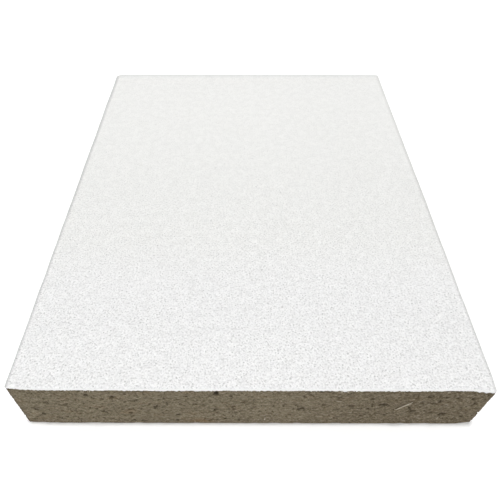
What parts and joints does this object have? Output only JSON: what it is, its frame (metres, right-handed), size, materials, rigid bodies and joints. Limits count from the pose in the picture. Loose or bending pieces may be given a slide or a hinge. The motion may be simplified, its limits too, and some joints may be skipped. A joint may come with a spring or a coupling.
{
  "type": "suspended ceiling tile",
  "caption": "Rectangular cut piece of a mineral fibre lay-in ceiling tile, with a white sand-textured painted facing over a grey-brown felted board whose cut edges are bare and pored.",
  "frame": {"origin": "middle of the back, which is the face that the piece lies on", "axes": "+Z out of the white visible face, +Y along the length, away from the front cut edge, and +X along the width"},
  "size_m": [0.096, 0.125, 0.016],
  "materials": {
    "felt": "bare pressed mineral fibre, matte and grey-brown, with dark pores and streaks along its layers",
    "paint": "matte white paint on a thin facing, with a fine sandy grain"
  },
  "bodies": {
    "root": {"core_board": "felt", "painted_facing": "paint"}
  },
  "joints": []
}
